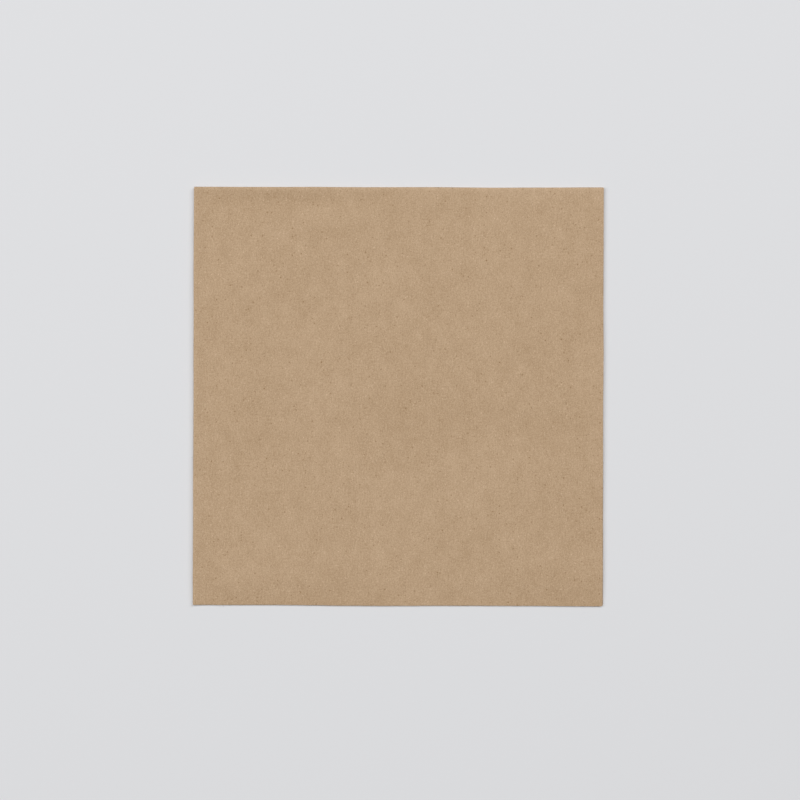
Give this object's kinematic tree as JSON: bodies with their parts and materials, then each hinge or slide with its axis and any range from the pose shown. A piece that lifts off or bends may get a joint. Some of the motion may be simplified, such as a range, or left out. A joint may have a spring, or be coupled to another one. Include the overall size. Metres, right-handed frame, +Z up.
{
  "type": "paper napkin",
  "caption": "Unprinted brown kraft paper napkin, one creped sheet folded in half twice into a near-square pad that lies flat, with folds on two sides and cut edges on the others.",
  "frame": {"origin": "centre of the folded napkin's footprint, on the surface it lies on", "axes": "+Z up, out of the upper face; +Y along the longer side, towards the second fold; +X towards the cut edges, away from the first fold"},
  "size_m": [0.1614, 0.1654, 0.0014],
  "materials": {
    "kraft_paper": "matt unbleached tissue with a fine crepe, fibre flecks and faint mottle"
  },
  "bodies": {
    "root": {"folded_sheet": "kraft_paper"}
  },
  "joints": []
}
